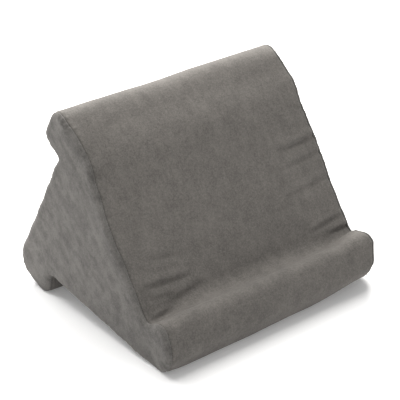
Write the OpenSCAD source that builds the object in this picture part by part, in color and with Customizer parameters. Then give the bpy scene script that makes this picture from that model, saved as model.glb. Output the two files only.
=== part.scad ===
// Soft three-sided tablet stand: a foam core in a zipped fabric cover.
// X runs along the width, -Y faces the user, +Z is up; the origin is the bottom centre of the box.
// The profile is a triangle whose three corners each carry a rolled lobe. Each lobe ends in a ledge
// that stands square to the next face, so the stand gives a tablet three different slopes.

/* [Profile] */
// Length of the front face, from the front bottom corner to the top corner of the triangle
front_side = 258; // [240:1:290]
// Length of the back face, from the top corner to the rear bottom corner
back_side = 206; // [190:1:235]
// Length of the base, from the rear bottom corner to the front bottom corner
base_side = 244; // [225:1:275]
// Distance of each ledge from the corner that its lobe grows on
ledge_at = 54; // [46:1:60]
// How far each ledge stands out from its face
ledge_reach = 28.5; // [24:0.5:34]
// Radius of the lobe's edge next to the ledge
nose_r = 13; // [11.5:0.5:14]
// Radius of the lobe's outer, lower edge
heel_r = 26.5; // [20:0.5:30]
// Radius where the ledge meets its face
root_r = 6; // [4:0.5:8]
// How far the two feet are pressed flat by the stand's own weight
foot_press = 1.5; // [0.5:0.25:3]

/* [Cover] */
// Width between the two end seams
seam_w = 272; // [200:1:340]
// How far each end panel bulges past its seam
end_bulge = 4.8; // [3:0.2:8]
// Width of the rounded border of each end panel
end_border = 11; // [8:0.5:11]
// Thickness of the cover fabric
fabric_t = 1.4; // [0.8:0.1:1.6]
// Width of the seam allowance that is turned in at each end panel
allowance = 10; // [6:1:14]
// Width of the valley along each end seam
seam_valley = 0.6; // [0.5:0.05:0.8]
// Width and height of the sewing thread in the end seams
thread_w = 0.5; // [0.3:0.05:0.5]
// Gap between pieces of cloth and foam that lie against each other
ease = 0.2; // [0.1:0.05:0.3]

/* [Zip] */
// Distance of the zip from the ledge root on the base
zip_from_ledge = 40; // [34:1:60]
// Length of the zipped slot in the cover
slot_len = 248; // [150:1:248]
// Width of the slot between the two hems
slot_w = 10; // [9.6:0.1:12]
// Width of each hem that is turned in along the slot
hem_w = 9; // [6:0.5:11]
// Width of the closed chain
chain_w = 6; // [5.6:0.1:6.4]
// Thickness of the teeth
tooth_t = 2.1; // [1.8:0.1:2.3]
// Distance from one tooth to the next on the same side
tooth_pitch = 2; // [1.6:0.1:3]
// Thickness of the zip tapes
tape_t = 0.6; // [0.4:0.05:0.7]
// Outer edge of each zip tape, from the middle of the chain
tape_reach = 15; // [12:0.5:16]
// Length of the slider
slider_l = 11; // [10:0.5:12]
// Width of the slider
slider_w = 8.8; // [8.6:0.1:9]
// Length of the pull tab from its pivot
tab_l = 14.5; // [10:0.5:15]
// Length of one sewing stitch
stitch_l = 2.6; // [2:0.1:3.5]
// Distance from one stitch to the next
stitch_pitch = 3.6; // [3:0.1:5]

/* [Care label] */
// Length of the label that shows, away from its seam
label_l = 28; // [20:1:40]
// Width of the label
label_w = 18; // [12:1:25]
// Thickness of the folded label
label_t = 0.5; // [0.3:0.1:0.8]

/* [Hidden] */

cloth = [0.45, 0.435, 0.415];
cloth_end = [0.48, 0.47, 0.45];
foam = [0.86, 0.84, 0.76];
thread = [0.3, 0.29, 0.28];
tape_cloth = [0.27, 0.265, 0.26];
nylon = [0.2, 0.2, 0.2];
metal = [0.66, 0.67, 0.68];
satin = [0.93, 0.93, 0.91];

// ---- Profile, in the plane across the width: [y, z] points, clockwise from the front foot ----

// Straight steps in each round stretch of the outline
arc_steps = 7;
// Overlap of solids that are joined, and overshoot of tools that cut
join = 0.5;

function unit(v) = v / norm(v);
function turned(v, angle) = [v[0] * cos(angle) - v[1] * sin(angle), v[0] * sin(angle) + v[1] * cos(angle)];
function on_circle(r, angle) = r * [cos(angle), sin(angle)];
function half_turn(angle) = angle - 360 * round(angle / 360);
function angle_of(v) = atan2(v[1], v[0]);

// The triangle: front bottom, top, rear bottom
top_y = (pow(front_side, 2) - pow(back_side, 2) + pow(base_side, 2)) / (2 * base_side);
corners = [[0, 0], [top_y, sqrt(pow(front_side, 2) - pow(top_y, 2))], [base_side, 0]];

// One lobe's sharp outline: its heel, its nose and the root of its ledge
function lobe(i) =
    let (
        here = corners[i],
        along = unit(corners[(i + 1) % 3] - here),
        back = unit(corners[(i + 2) % 3] - here),
        out = turned(along, 90),
        root = here + ledge_at * along
    )
    [here + back * ledge_reach / (back * out), root + ledge_reach * out, root];

sharp = [for (i = [0:2]) each lobe(i)];
radii = [heel_r, nose_r, root_r];
// A lobe is rounded outwards at its heel and nose, and inwards at its root
sides = [1, 1, -1];

// The arc at one corner of the sharp outline: centre, radius, start angle, sweep, side
function arc(k) =
    let (
        here = sharp[k],
        to_last = unit(sharp[(k + 8) % 9] - here),
        to_next = unit(sharp[(k + 1) % 9] - here),
        half = acos(to_last * to_next) / 2,
        r = radii[k % 3],
        centre = here + unit(to_last + to_next) * r / sin(half),
        start = angle_of(here + to_last * r / tan(half) - centre),
        end = angle_of(here + to_next * r / tan(half) - centre)
    )
    [centre, r, start, half_turn(end - start), sides[k % 3]];

arcs = [for (k = [0:8]) arc(k)];

// The stand leans until its front heel and its rear nose both touch the floor
front_foot = arcs[0][0];
rear_foot = arcs[7][0];
foot_span = rear_foot - front_foot;
lean = asin((nose_r - heel_r) / norm(foot_span)) - angle_of(foot_span);
floor_z = turned(front_foot, lean)[1] - heel_r + foot_press;

// The leaning outline, moved inwards by inset, before it is centred
function leaning(inset) = [
    for (a = arcs, j = [0:arc_steps])
        turned(a[0] + on_circle(a[1] - a[4] * inset, a[2] + a[3] * j / arc_steps), lean)
];
mid_y = (min([for (p = leaning(0)) p[0]]) + max([for (p = leaning(0)) p[0]])) / 2;
function placed(p) = [p[0] - mid_y, p[1] - floor_z];

// Where the outline crosses the height z between two of its points
function crossing(p, q, z) = [p[0] + (q[0] - p[0]) * (z - p[1]) / (q[1] - p[1]), z];

// The last point, stepping on from i, that is still below the height z
function last_below(points, i, step, z) =
    let (next = (i + step + len(points)) % len(points))
    points[next][1] > z ? i : last_below(points, next, step, z);

// Point i of a run below the height z, moved onto the straight line that cuts the run off
function pressed(points, i, z) =
    let (
        n = len(points),
        first = last_below(points, i, -1, z),
        last = last_below(points, i, 1, z),
        from = crossing(points[(first + n - 1) % n], points[first], z),
        to = crossing(points[last], points[(last + 1) % n], z),
        share = first == last ? 0.5 : ((i - first + n) % n) / ((last - first + n) % n)
    )
    [from[0] + (to[0] - from[0]) * share, z];

// The outline in its place, with feet that are flat as deep as the cover and its allowance go
function outline(inset) =
    let (points = [for (p = leaning(inset)) placed(p)], z = min(inset, core_end_inset))
    [for (i = [0:len(points) - 1]) points[i][1] > z ? points[i] : pressed(points, i, z)];

// The same outline without the points in the middle of its flat feet
function clean_outline(inset) =
    let (points = outline(inset), n = len(points))
    [
        for (i = [0:n - 1])
            if (max(points[(i + n - 1) % n][1], points[i][1], points[(i + 1) % n][1]) > inset) points[i]
    ];

// ---- Layers, measured inwards from the outside of the cover ----

core_inset = fabric_t + ease;
flange_inset = fabric_t + ease;
core_end_inset = flange_inset + fabric_t + ease;
seam_x = seam_w / 2;
cloth_end_x = seam_x - seam_valley / 2;
flange_x = seam_x - allowance;

// ---- Zip, in its own frame: x along the chain, y to the front, z out of the base, 0 on the cloth ----

zip_at = base_side - ledge_at - zip_from_ledge;
hem_z = -2 * fabric_t;
tape_top = hem_z - ease / 2;
tape_bottom = tape_top - tape_t;
tooth_bottom = tape_top + ease / 4;
tooth_top = tooth_bottom + tooth_t;
plate_t = 1.1;
under_plate_top = tape_bottom - ease;
top_plate_bottom = tooth_top + ease;
top_plate_top = top_plate_bottom + plate_t;
channel_depth = -under_plate_top + plate_t + 3 * ease;

slot_end = slot_len / 2;
bartack_x = slot_end - 3;
stop_l = 2;
top_stop_x = bartack_x - 3 * stop_l;
slider_x = top_stop_x - slider_l / 2 - 1;
bottom_stop_x = -(bartack_x - 2.5 * stop_l);
row_inner = chain_w / 4;
row_outer = chain_w / 2;
post_w = 1.8;
stitch_from_slot = 2.5;

// Stands a [y, z] outline up and runs it from x0 to x1
module slab(points, x0, x1) {
    translate([x0, 0, 0]) rotate([90, 0, 90]) linear_extrude(x1 - x0) polygon(points);
}

// Puts its children in the zip's frame, at a distance from the front bottom corner along the base
module on_base(distance) {
    at = placed(turned([distance, 0], lean));
    translate([0, at[0], at[1]]) rotate([180 + lean, 0, 0]) children();
}

// A box from its lowest to its highest corner
module block(low, high) {
    translate(low) cube(high - low);
}

// Convex faces that fill the outline. A lobe's heel and nose make one face. The points of its root
// arc are joined to the heel's first point, then to the last point of the lobe before it.
arc_n = arc_steps + 1;
lobe_n = 3 * arc_n;
outline_n = 3 * lobe_n;
cap_faces = [
    for (i = [0:2])
        let (
            heel = i * lobe_n,
            root = heel + 2 * arc_n,
            before = (heel + outline_n - 1) % outline_n,
            middle = root + ceil(arc_steps / 2),
            last = root + arc_steps
        )
        each concat(
            [[for (j = [heel:root]) j], [before, heel, middle]],
            [for (j = [root:last - 1]) [j < middle ? heel : before, j, j + 1]]
        ),
    [for (i = [1:3]) i * lobe_n - 1]
];

function backwards(face) = [for (j = [len(face) - 1:-1:0]) face[j]];

// A closed skin through rings of the outline, each [x, inset]; it may turn back inside itself
module skin(rings) {
    last = len(rings) - 1;
    points = [for (ring = rings, p = outline(ring[1])) [ring[0], p[0], p[1]]];
    walls = [
        for (i = [0:last - 1], j = [0:outline_n - 1])
            let (a = i * outline_n + j, b = i * outline_n + (j + 1) % outline_n)
            each [[a, b, b + outline_n], [a, b + outline_n, a + outline_n]]
    ];
    first_cap = [for (face = cap_faces) backwards(face)];
    last_cap = [for (face = cap_faces) [for (j = face) last * outline_n + j]];
    polyhedron(points, concat(walls, first_cap, last_cap));
}

// ---- Cover and core ----

module foam_core() {
    color(foam) difference() {
        union() {
            slab(clean_outline(core_inset), -flange_x + ease, flange_x - ease);
            slab(clean_outline(core_end_inset), -seam_x, seam_x);
        }
        on_base(zip_at) {
            recess = [slot_end + 3 * join, tape_reach + 2 * join, 0];
            block([-recess[0], -recess[1], tape_bottom - ease], recess);
            block([-slot_end, -slot_w / 2 - join, -channel_depth], [slot_end, slot_w / 2 + join, 0]);
        }
    }
}

// One long strip of cloth round the whole profile, with a hemmed slot for the zip
module wrap_panel() {
    color(cloth) difference() {
        union() {
            difference() {
                slab(clean_outline(0), -cloth_end_x, cloth_end_x);
                slab(clean_outline(fabric_t), -seam_x, seam_x);
            }
            on_base(zip_at) {
                hem_y = slot_w / 2 + hem_w;
                block([-slot_end, -hem_y, hem_z], [slot_end, hem_y, -fabric_t + join]);
            }
        }
        on_base(zip_at) {
            block([-slot_end, -slot_w / 2, hem_z - join], [slot_end, slot_w / 2, join]);
        }
    }
}

// The right end panel: a shallow dome with a rounded border and a flange turned in under the wrap
module end_panel() {
    border_steps = 5;
    inner_r = end_border - fabric_t;
    inner_bulge = end_bulge - fabric_t;
    edge_x = seam_x + seam_valley / 2;
    outside = [
        for (i = [border_steps:-1:0])
            let (t = 90 * i / border_steps)
            [edge_x + (end_bulge - seam_valley / 2) * sin(t), end_border * (1 - cos(t))]
    ];
    flange = [
        [edge_x, flange_inset],
        [flange_x, flange_inset],
        [flange_x, flange_inset + fabric_t],
        [seam_x, flange_inset + fabric_t]
    ];
    inside = [for (t = [45, 67, 90]) [seam_x + inner_bulge * sin(t), end_border - inner_r * cos(t)]];
    color(cloth_end) skin(concat(outside, flange, inside));
}

module end_panel_left() {
    mirror([1, 0, 0]) end_panel();
}

module end_panel_right() {
    end_panel();
}

// The thread in an end seam: a ring that lies in the valley between the two cloths
module seam_thread(x) {
    thread_inset = ease;
    color(thread) difference() {
        slab(clean_outline(thread_inset), x - thread_w / 2, x + thread_w / 2);
        slab(clean_outline(thread_inset + thread_w), x - thread_w, x + thread_w);
    }
}

module seam_thread_left() {
    seam_thread(-seam_x);
}

module seam_thread_right() {
    seam_thread(seam_x);
}

// ---- Zip: side is 1 for the front half and -1 for the rear half ----

module zip_half(side) {
    on_base(zip_at) mirror([0, side > 0 ? 0 : 1, 0]) children();
}

module zip_tape(side) {
    inner_y = post_w / 2 + ease;
    end_x = slot_end + join;
    color(tape_cloth) zip_half(side) block([-end_x, inner_y, tape_bottom], [end_x, tape_reach, tape_top]);
}

module zip_tape_front() {
    zip_tape(1);
}

module zip_tape_rear() {
    zip_tape(-1);
}

// One row of teeth. The two rows are half a pitch apart, and part ahead of the slider's post.
module zip_teeth(side) {
    row_start = bottom_stop_x + stop_l + ease;
    row_end = top_stop_x - ease;
    meshed_end = slider_x - join;
    tooth_w = tooth_pitch / 2 - ease;
    tip_y = -row_inner + ease;
    first = row_start + tooth_pitch * (side > 0 ? 0.5 : 1);
    count = floor((meshed_end - first) / tooth_pitch);
    comb = [
        [row_start, row_outer],
        [row_start, row_inner],
        for (i = [0:count])
            let (x = first + i * tooth_pitch)
            each [
                [x - tooth_w / 2, row_inner],
                [x - tooth_w / 2, tip_y],
                [x + tooth_w / 2, tip_y],
                [x + tooth_w / 2, row_inner]
            ],
        [row_end, row_inner],
        [row_end, row_outer]
    ];
    color(nylon) zip_half(side) translate([0, 0, tooth_bottom]) linear_extrude(tooth_t) polygon(comb);
}

module zip_teeth_front() {
    zip_teeth(1);
}

module zip_teeth_rear() {
    zip_teeth(-1);
}

// The pull tab's pivot, above the middle of the slider
pivot_h = 1.05;
pivot_z = top_plate_top + pivot_h;
// The tab's crossbar turns loosely in the slider's bridge
crossbar_r = 0.6;
bridge_w = 2;

// Slider: two plates, a post that parts the teeth, side flanges, and a bridge for the pull tab
module zip_slider() {
    bridge_half_l = 3.2;
    bridge_h = 3.05;
    bridge_r = 1.15 * bridge_half_l;
    window_l = 4.4;
    window_h = 2.05;
    flange_w = slider_w / 2 - row_outer - 2 * ease;
    flange_bottom = tape_top + ease;
    plate_r = 0.58 * slider_l;
    post_from = 0.06 * slider_l;
    post_to = 0.4 * slider_l;
    color(metal) on_base(zip_at) translate([slider_x, 0, 0]) {
        intersection() {
            union() {
                block(
                    [-slider_l / 2, -slider_w / 2, under_plate_top - plate_t],
                    [slider_l / 2, slider_w / 2, under_plate_top]
                );
                block(
                    [-slider_l / 2, -slider_w / 2, top_plate_bottom],
                    [slider_l / 2, slider_w / 2, top_plate_top]
                );
                for (side = [0, 1]) mirror([0, side, 0]) {
                    block(
                        [-slider_l / 2, slider_w / 2 - flange_w, flange_bottom],
                        [slider_l / 2, slider_w / 2, top_plate_bottom + join]
                    );
                }
            }
            translate([0, 0, under_plate_top - 2 * plate_t]) cylinder(h = slider_l, r = plate_r, $fn = 64);
        }
        // Post
        block(
            [post_from, -post_w / 2, under_plate_top - join],
            [post_to, post_w / 2, top_plate_bottom + join]
        );
        // Bridge
        translate([0, bridge_w / 2, top_plate_top]) rotate([90, 0, 0]) linear_extrude(bridge_w) {
            difference() {
                intersection() {
                    translate([-bridge_half_l, -join]) square([2 * bridge_half_l, bridge_h + join]);
                    circle(r = bridge_r, $fn = 64);
                }
                translate([-window_l / 2, 0]) square([window_l, window_h]);
            }
        }
    }
}

// Pull tab, hanging from the bridge: crossbar, two arms, and a plate with a round end and a hole
module zip_pull_tab() {
    arm_w = 1.1;
    side_play = 0.3;
    arm_y = bridge_w / 2 + side_play;
    plate_from = 4.6;
    tab_t = 1.3;
    tab_w = 6.4;
    end_r = tab_w / 2;
    hole_r = 0.45 * end_r;
    color(metal) on_base(zip_at) translate([slider_x, 0, pivot_z]) {
        translate([0, arm_y + arm_w, 0]) rotate([90, 0, 0]) {
            cylinder(h = 2 * (arm_y + arm_w), r = crossbar_r, $fn = 32);
        }
        rotate([0, -90, 0]) translate([0, 0, -tab_t / 2]) linear_extrude(tab_t) {
            difference() {
                union() {
                    for (side = [0, 1]) mirror([0, side]) translate([0, arm_y]) square([plate_from + join, arm_w]);
                    translate([plate_from, -end_r]) square([tab_l - end_r - plate_from, tab_w]);
                    translate([tab_l - end_r, 0]) circle(r = end_r, $fn = 48);
                }
                translate([tab_l - end_r, 0]) circle(r = hole_r, $fn = 32);
            }
        }
    }
}

module zip_top_stop(side) {
    color(metal) zip_half(side) {
        block([top_stop_x, row_inner - ease, tooth_bottom], [top_stop_x + stop_l, row_outer + ease, tooth_top]);
    }
}

module zip_top_stop_front() {
    zip_top_stop(1);
}

module zip_top_stop_rear() {
    zip_top_stop(-1);
}

// The bottom stop joins the two rows at the open end
module zip_bottom_stop() {
    half_w = row_outer + ease;
    color(metal) on_base(zip_at) {
        block([bottom_stop_x, -half_w, tooth_bottom], [bottom_stop_x + stop_l, half_w, tooth_top]);
    }
}

// ---- Sewing ----

// A row of stitches along one hem of the slot
module zip_stitching(side) {
    thread_r = thread_w / 2;
    run = bartack_x - stop_l;
    count = floor((2 * run - stitch_l) / stitch_pitch);
    start = -(count * stitch_pitch + stitch_l) / 2;
    color(thread) zip_half(side) translate([start, slot_w / 2 + stitch_from_slot, thread_r + ease / 4]) {
        for (i = [0:count]) {
            translate([i * stitch_pitch, 0, 0]) rotate([0, 90, 0]) cylinder(h = stitch_l, r = thread_r, $fn = 12);
        }
    }
}

module zip_stitching_front() {
    zip_stitching(1);
}

module zip_stitching_rear() {
    zip_stitching(-1);
}

// A dense bar of thread that holds the two hems together at one end of the zip
module bartack(x) {
    bar_l = 2;
    bar_t = 0.6;
    past_slot = 1.5;
    bar_y = slot_w / 2 + past_slot;
    lift = ease / 4;
    color(thread) on_base(zip_at) block([x - bar_l / 2, -bar_y, lift], [x + bar_l / 2, bar_y, lift + bar_t]);
}

module bartack_left() {
    bartack(-bartack_x);
}

module bartack_right() {
    bartack(bartack_x);
}

// A blank care label, caught in the right end seam and lying against the base
module care_label() {
    from_zip = 50;
    label_at = zip_at - from_zip;
    color(satin) on_base(label_at) {
        block(
            [cloth_end_x - label_l, -label_w / 2, ease],
            [cloth_end_x, label_w / 2, ease + label_t]
        );
    }
}

foam_core();
wrap_panel();
end_panel_left();
end_panel_right();
seam_thread_left();
seam_thread_right();
zip_tape_front();
zip_tape_rear();
zip_teeth_front();
zip_teeth_rear();
zip_slider();
zip_pull_tab();
zip_top_stop_front();
zip_top_stop_rear();
zip_bottom_stop();
zip_stitching_front();
zip_stitching_rear();
bartack_left();
bartack_right();
care_label();
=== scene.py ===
import math
from collections import namedtuple
from contextlib import contextmanager
from itertools import product

import bmesh
import bpy
import numpy as np
from mathutils import Matrix, Quaternion, Vector, noise
from mathutils.geometry import delaunay_2d_cdt


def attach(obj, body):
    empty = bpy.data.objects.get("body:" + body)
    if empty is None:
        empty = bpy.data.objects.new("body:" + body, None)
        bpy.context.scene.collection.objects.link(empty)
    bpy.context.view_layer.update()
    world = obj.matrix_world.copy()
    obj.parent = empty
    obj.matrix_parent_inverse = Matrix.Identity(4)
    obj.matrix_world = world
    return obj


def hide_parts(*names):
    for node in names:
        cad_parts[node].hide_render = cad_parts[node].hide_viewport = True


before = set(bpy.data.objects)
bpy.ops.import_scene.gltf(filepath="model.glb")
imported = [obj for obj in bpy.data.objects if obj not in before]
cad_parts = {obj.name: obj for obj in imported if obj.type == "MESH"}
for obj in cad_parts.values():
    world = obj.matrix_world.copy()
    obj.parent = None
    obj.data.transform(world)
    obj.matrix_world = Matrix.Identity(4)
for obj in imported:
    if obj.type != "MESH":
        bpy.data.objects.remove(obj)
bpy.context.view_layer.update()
MM = 0.001

# ---- Driving sizes, in metres: the same as the CAD model's ----

FRONT_SIDE = 0.258
BACK_SIDE = 0.206
BASE_SIDE = 0.244
LEDGE_AT = 0.054
LEDGE_REACH = 0.0285
HEEL_R = 0.0265
NOSE_R = 0.013
ROOT_R = 0.006
FOOT_PRESS = 0.0015
CAD_ARC_STEPS = 7
SEAM_X = 0.136
END_BULGE = 0.0048
END_BORDER = 0.0075
FABRIC_T = 0.0014
ALLOWANCE = 0.010
ZIP_FROM_LEDGE = 0.040
ZIP_AT = BASE_SIDE - LEDGE_AT - ZIP_FROM_LEDGE
SLOT_END = 0.124
SLOT_HALF_W = 0.005

# ---- Profile, in the plane across the width: [y, z] points, clockwise from the front foot ----

Arc = namedtuple("Arc", "centre radius start sweep side")
LOBES = 3
FRONT, TOP, REAR = range(LOBES)
HEEL, NOSE, ROOT, FACE = range(4)
SIDES = [1, 1, -1] * LOBES
RADII = [HEEL_R, NOSE_R, ROOT_R] * LOBES


def unit(v):
    return v / np.linalg.norm(v)


def turned(v, angle):
    c, s = math.cos(angle), math.sin(angle)
    return np.array([v[0] * c - v[1] * s, v[0] * s + v[1] * c])


def angle_of(v):
    return math.atan2(v[1], v[0])


def triangle_corners():
    """Front bottom, top and rear bottom, with the base along the first axis."""
    top_y = (FRONT_SIDE ** 2 - BACK_SIDE ** 2 + BASE_SIDE ** 2) / (2 * BASE_SIDE)
    top_z = math.sqrt(FRONT_SIDE ** 2 - top_y ** 2)
    return [np.array([0.0, 0.0]), np.array([top_y, top_z]), np.array([BASE_SIDE, 0.0])]


CORNERS = triangle_corners()


def lobe_corners(i):
    """The sharp heel, nose and ledge root of one lobe."""
    here = CORNERS[i]
    along = unit(CORNERS[(i + 1) % LOBES] - here)
    back = unit(CORNERS[(i + 2) % LOBES] - here)
    out = turned(along, math.pi / 2)
    root = here + LEDGE_AT * along
    return [here + back * LEDGE_REACH / (back @ out), root + LEDGE_REACH * out, root]


SHARP = [point for i in range(LOBES) for point in lobe_corners(i)]


def arcs_for(radii):
    """The round stretches of the outline, for one radius per sharp corner."""
    arcs = []
    for k, r in enumerate(radii):
        here = SHARP[k]
        to_last = unit(SHARP[k - 1] - here)
        to_next = unit(SHARP[(k + 1) % len(SHARP)] - here)
        half = math.acos(to_last @ to_next) / 2
        centre = here + unit(to_last + to_next) * r / math.sin(half)
        start = angle_of(here + to_last * r / math.tan(half) - centre)
        end = angle_of(here + to_next * r / math.tan(half) - centre)
        sweep = (end - start + math.pi) % (2 * math.pi) - math.pi
        arcs.append(Arc(centre, r, start, sweep, SIDES[k]))
    return arcs


def on_arc(arc, t, inset=0.0):
    angle = arc.start + arc.sweep * t
    return arc.centre + (arc.radius - arc.side * inset) * np.array([math.cos(angle), math.sin(angle)])


def resting_place():
    """How far the outline leans, and the shift that centres it over the floor."""
    arcs = arcs_for(RADII)
    span = arcs[3 * REAR + NOSE].centre - arcs[3 * FRONT + HEEL].centre
    lean = math.asin((NOSE_R - HEEL_R) / np.linalg.norm(span)) - angle_of(span)
    steps = np.linspace(0, 1, CAD_ARC_STEPS + 1)
    ys = [turned(on_arc(arc, t), lean)[0] for arc in arcs for t in steps]
    floor_z = turned(arcs[0].centre, lean)[1] - HEEL_R + FOOT_PRESS
    return lean, np.array([(min(ys) + max(ys)) / 2, floor_z])


LEAN, SHIFT = resting_place()


def placed(point):
    return turned(point, LEAN) - SHIFT


# ---- The zip's own frame: x along the chain, w to the front, h out of the base ----

ZIP_ORIGIN = placed(np.array([ZIP_AT, 0.0]))
ZIP_W = -turned(np.array([1.0, 0.0]), LEAN)
ZIP_H = turned(np.array([0.0, -1.0]), LEAN)
ZIP_OUT = np.array([0.0, *ZIP_H])


def zip_point(x, w, h):
    y, z = ZIP_ORIGIN + ZIP_W * w + ZIP_H * h
    return (x, y, z)


def to_zip(co):
    """Zip-frame w and h of an array of points."""
    offset = co[:, 1:] - ZIP_ORIGIN
    return offset @ ZIP_W, offset @ ZIP_H


# ---- The cover's outline at each place across the width ----

SPACING = 3.4 * MM
FOLD_R = FABRIC_T
WINDOW_W = SLOT_HALF_W + FOLD_R
WINDOW_X = SLOT_END + FOLD_R
WINDOW_STEPS = 4
WINDOW_POINTS = WINDOW_STEPS - 1


def steps_for(length):
    return max(2, round(length / SPACING))


def ring_stations():
    """(segment, k, t) for each point of a ring, starting and ending beside the zip's slot."""
    arcs = arcs_for(RADII)
    stations = []
    for k, arc in enumerate(arcs):
        steps = steps_for(arc.radius * abs(arc.sweep))
        if k == 0:
            heel_y = on_arc(arc, 0)[0]
            run = steps_for(ZIP_AT - WINDOW_W - heel_y)
            stations += [("to_heel", k, j / run) for j in range(run)]
        stations += [("arc", k, j / steps) for j in range(steps + 1)]
        if k < len(arcs) - 1:
            gap = np.linalg.norm(on_arc(arcs[k + 1], 0) - on_arc(arc, 1))
            run = steps_for(gap)
            stations += [("line", k, j / run) for j in range(1, run)]
    root_y = on_arc(arcs[-1], 1)[0]
    run = steps_for(root_y - ZIP_AT - WINDOW_W)
    stations += [("from_root", len(arcs) - 1, j / run) for j in range(1, run + 1)]
    stations += [("window", 0, j / WINDOW_STEPS) for j in range(1, WINDOW_STEPS)]
    return stations


STATIONS = ring_stations()
RING_N = len(STATIONS)


def ring(radii, inset=0):
    """The outline's points at one inset, placed over the floor."""
    arcs = arcs_for(radii)
    front_edge = np.array([ZIP_AT - WINDOW_W, inset])
    rear_edge = np.array([ZIP_AT + WINDOW_W, inset])
    points = []
    for segment, k, t in STATIONS:
        if segment == "arc":
            point = on_arc(arcs[k], t, inset)
        else:
            start, end = {
                "to_heel": (front_edge, on_arc(arcs[0], 0, inset)),
                "line": (on_arc(arcs[k], 1, inset), on_arc(arcs[(k + 1) % len(arcs)], 0, inset)),
                "from_root": (on_arc(arcs[-1], 1, inset), rear_edge),
                "window": (rear_edge, front_edge),
            }[segment]
            point = start + (end - start) * t
        points.append(placed(point))
    return np.array(points)


def smooth_step(x, low, high):
    t = np.clip((x - low) / (high - low), 0, 1)
    return t * t * (3 - 2 * t)


MIDDLE_X = 0.070
MIDDLE_FADE_X = 0.125


def middle_share(x):
    """1 over the middle of the width, fading to 0 near the end seams."""
    return 1 - smooth_step(abs(x), MIDDLE_X, MIDDLE_FADE_X)


# Soft creases of the ledges are wider in the middle of the width than at the sewn ends
FRONT_ROOT_MIDDLE_R = 0.015
OTHER_ROOT_MIDDLE_R = 0.010
OTHER_ROOT_END_R = 0.0045
# The top roll stands a little higher than the nominal one, the front roll is slimmer at the right
TOP_HEEL_R = 0.0240
FRONT_HEEL_RIGHT_R = 0.0225
SLIMMER_FROM_X = 0.050


def radii_at(x):
    radii = list(RADII)
    middle = middle_share(x)
    radii[3 * FRONT + ROOT] += (FRONT_ROOT_MIDDLE_R - ROOT_R) * middle
    for lobe in (TOP, REAR):
        radii[3 * lobe + ROOT] = OTHER_ROOT_END_R + (OTHER_ROOT_MIDDLE_R - OTHER_ROOT_END_R) * middle
    radii[3 * TOP + HEEL] = TOP_HEEL_R
    radii[3 * FRONT + HEEL] += (FRONT_HEEL_RIGHT_R - HEEL_R) * smooth_step(x, SLIMMER_FROM_X, SEAM_X)
    return radii


OUTLINE = ring(RADII)


def distances(points):
    """Distance along a closed ring at each of its points, and all the way round."""
    steps = np.linalg.norm(np.roll(points, -1, axis=0) - points, axis=1)
    return np.concatenate([[0.0], np.cumsum(steps)])


TRACK = distances(OUTLINE)[:-1]


def track_at(lobe, part, share):
    """Track distance of the place at a share along one part of a lobe, or up the face beyond it."""
    if part == FACE:
        start, end = track_at(lobe, ROOT, 1), track_at(lobe + 1, HEEL, 0)
        return start + (end - start) * share
    k = 3 * lobe + part
    known = [(t, place) for (kind, arc, t), place in zip(STATIONS, TRACK) if (kind, arc) == ("arc", k)]
    return np.interp(share, *zip(*known))


def outward(points):
    """Unit normals of a closed ring of [y, z] points that runs clockwise."""
    tangent = np.roll(points, -1, axis=0) - np.roll(points, 1, axis=0)
    normal = np.stack([-tangent[:, 1], tangent[:, 0]], axis=1)
    return normal / np.linalg.norm(normal, axis=1, keepdims=True)


# ---- Where the filled cover stands out or sinks in, before it is simulated ----

FRONT_SINK = 2.2 * MM
BACK_SINK = 0.8 * MM
SINK_REACH = 0.028
FACE_CROWN = 0.9 * MM
SEAM_PUCKER = 0.45 * MM
PUCKER_REACH = 0.014
PUCKER_STEP = 0.031
LEFT_PUCKER_PHASE = 0.4
RIGHT_PUCKER_PHASE = 2.1
UNEVEN = 0.55 * MM
UNEVEN_SIZE = 0.055
ZIP_CALM = 0.020


def hump(distance, reach):
    return np.exp(-(distance / reach) ** 2)


def face_share(lobe):
    """0 at both ends of the face beyond a lobe and 1 in its middle, at each station."""
    start, end = track_at(lobe, FACE, 0), track_at(lobe, FACE, 1)
    return np.sin(math.pi * np.clip((TRACK - start) / (end - start), 0, 1))


FRONT_FACE = face_share(FRONT)
BACK_FACE = face_share(TOP)
NEAR_ZIP = np.minimum(TRACK, TRACK[-WINDOW_POINTS - 1] - TRACK)
CALM = np.clip(NEAR_ZIP / ZIP_CALM, 0, 1)

# How far the cloth stands out, or sinks in if the amount is negative: a lobe, its part and the share
# along it, the reach and the amount in millimetres, and where across the width it starts and is full
EVERYWHERE = (-1.0, -0.5)
RIGHT_CORNER = (0.090, SEAM_X)
SWELLS = [
    (FRONT, NOSE, 0.6, 14, 4.0, *RIGHT_CORNER),
    (FRONT, ROOT, 0.1, 8, 7.0, *RIGHT_CORNER),
    (FRONT, HEEL, 0.33, 26, -12.5, 0.040, 0.149),
    (TOP, HEEL, 0.8, 28, 2.5, -0.040, 0.100),
    (TOP, HEEL, 0.8, 28, 1.9, *EVERYWHERE),
    (TOP, HEEL, 0.18, 28, -6.2, *EVERYWHERE),
    (FRONT, FACE, 0.82, 28, 3.0, *EVERYWHERE),
    (FRONT, HEEL, 0.25, 16, 2.4, *EVERYWHERE),
    (FRONT, HEEL, 0.25, 16, -0.9, -0.060, 0.0),
    (FRONT, HEEL, 0.25, 16, -1.5, *RIGHT_CORNER),
    (FRONT, HEEL, 0.25, 16, -1.0, -0.120, -SEAM_X),
    (TOP, HEEL, 1.0, 10, -2.0, -0.085, -SEAM_X),
]
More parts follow.
